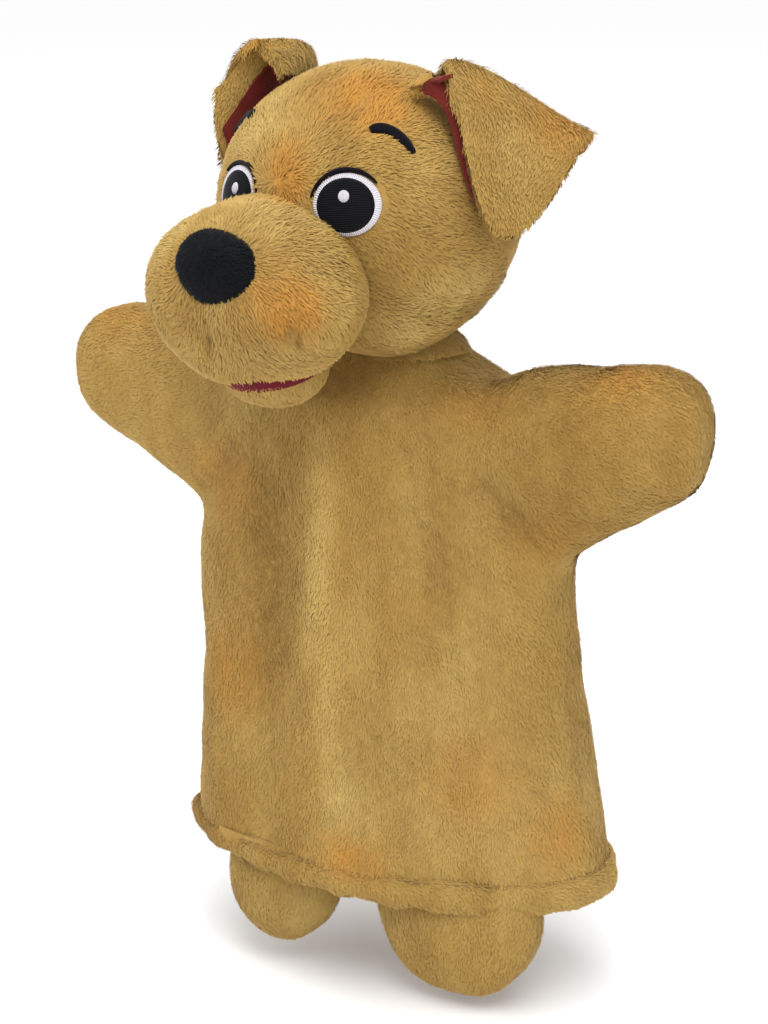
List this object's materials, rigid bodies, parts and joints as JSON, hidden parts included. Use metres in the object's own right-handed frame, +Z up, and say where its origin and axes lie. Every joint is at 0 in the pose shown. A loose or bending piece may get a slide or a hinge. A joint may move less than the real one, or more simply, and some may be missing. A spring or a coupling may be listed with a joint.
{
  "type": "plush glove puppet",
  "caption": "Plush dog glove puppet: hollow body with a wide hand opening, two sleeved arms, a stuffed head on a finger tube, folded ears and hanging feet.",
  "frame": {"origin": "middle of the hand opening, level with the lower edge of the hem", "axes": "+Z up towards the head, the dog faces -Y, its left arm is at +X"},
  "size_m": [0.2184, 0.1305, 0.285],
  "materials": {
    "gold_plush": "matte",
    "gold_plush_hem": "matte",
    "gold_thread": "matte",
    "polyester_fibre": "matte",
    "grey_card": "matte",
    "mouth_felt": "matte",
    "black_plush": "matte",
    "ear_lining": "matte",
    "white_thread": "satin",
    "black_thread": "satin"
  },
  "bodies": {
    "torso": {"body_front_panel": "gold_plush", "body_back_panel": "gold_plush", "hem_front": "gold_plush_hem", "hem_back": "gold_plush_hem", "hem_stitching": "gold_thread", "left_foot_tab": "gold_plush", "right_foot_tab": "gold_plush"},
    "neck": {"neck_cover_lower": "gold_plush"},
    "neck_top": {"neck_cover_upper": "gold_plush"},
    "head": {"finger_tube": "grey_card", "head_left_side": "gold_plush", "head_right_side": "gold_plush", "head_filling": "polyester_fibre", "muzzle_cover": "gold_plush", "muzzle_filling": "polyester_fibre", "nose": "black_plush", "left_eye_white": "white_thread", "right_eye_white": "white_thread", "left_pupil": "black_thread", "right_pupil": "black_thread", "left_eye_highlight": "white_thread", "right_eye_highlight": "white_thread", "left_lash_line": "black_thread", "right_lash_line": "black_thread", "left_brow": "black_thread", "right_brow": "black_thread", "left_ear_root": "gold_plush", "right_ear_root": "gold_plush"},
    "jaw": {"chin": "gold_plush", "mouth_lining": "mouth_felt"},
    "left_ear": {"left_ear_flap": "gold_plush", "left_ear_lining": "ear_lining"},
    "right_ear": {"right_ear_flap": "gold_plush", "right_ear_lining": "ear_lining"},
    "left_arm": {"left_sleeve": "gold_plush"},
    "right_arm": {"right_sleeve": "gold_plush"},
    "left_hand": {"left_paw": "gold_plush"},
    "right_hand": {"right_paw": "gold_plush"},
    "left_leg": {"left_foot": "gold_plush", "left_foot_filling": "polyester_fibre"},
    "right_leg": {"right_foot": "gold_plush", "right_foot_filling": "polyester_fibre"}
  },
  "joints": [
    {"name": "neck_turn", "type": "hinge", "parent": "torso", "child": "neck", "pos_m": [0, 0, 0.163], "axis": [0, 0, 1], "range_deg": [-20, 44]},
    {"name": "head_tilt", "type": "hinge", "parent": "neck", "child": "neck_top", "pos_m": [0, 0, 0.163], "axis": [0.2079, 0.9781, 0], "range_deg": [-12, 12]},
    {"name": "head_nod", "type": "hinge", "parent": "neck_top", "child": "head", "pos_m": [0, 0, 0.163], "axis": [0.9781, -0.2079, 0], "range_deg": [-14, 12]},
    {"name": "chin_open", "type": "hinge", "parent": "head", "child": "jaw", "pos_m": [-0.00873, -0.04108, 0.17], "axis": [0.9781, -0.2079, 0], "range_deg": [0, 9], "stiffness_Nm_per_rad": 0.02},
    {"name": "left_ear_fold", "type": "hinge", "parent": "head", "child": "left_ear", "pos_m": [0.02679, -0.02307, 0.2515], "axis": [-0.7172, -0.6158, 0.3263], "range_deg": [-4, 50], "stiffness_Nm_per_rad": 0.01},
    {"name": "right_ear_fold", "type": "hinge", "parent": "head", "child": "right_ear", "pos_m": [-0.03386, -0.01018, 0.2515], "axis": [-0.4047, 0.8543, -0.3263], "range_deg": [-4, 50], "stiffness_Nm_per_rad": 0.01},
    {"name": "left_arm_clap", "type": "hinge", "parent": "torso", "child": "left_arm", "pos_m": [0.052, 0, 0.135], "axis": [0, 0, -1], "range_deg": [-12, 32]},
    {"name": "right_arm_clap", "type": "hinge", "parent": "torso", "child": "right_arm", "pos_m": [-0.052, 0, 0.135], "axis": [0, 0, 1], "range_deg": [-12, 32]},
    {"name": "left_paw_raise", "type": "hinge", "parent": "left_arm", "child": "left_hand", "pos_m": [0.08, 0, 0.1424], "axis": [0, -1, 0], "range_deg": [-20, 16]},
    {"name": "right_paw_raise", "type": "hinge", "parent": "right_arm", "child": "right_hand", "pos_m": [-0.08, 0, 0.1424], "axis": [0, 1, 0], "range_deg": [-20, 16]},
    {"name": "left_foot_swing", "type": "hinge", "parent": "torso", "child": "left_leg", "pos_m": [0.0355, -0.036, -0.0008], "axis": [-1, 0, 0], "range_deg": [-6, 50]},
    {"name": "right_foot_swing", "type": "hinge", "parent": "torso", "child": "right_leg", "pos_m": [-0.0285, -0.036, -0.0008], "axis": [-1, 0, 0], "range_deg": [-6, 50]}
  ]
}
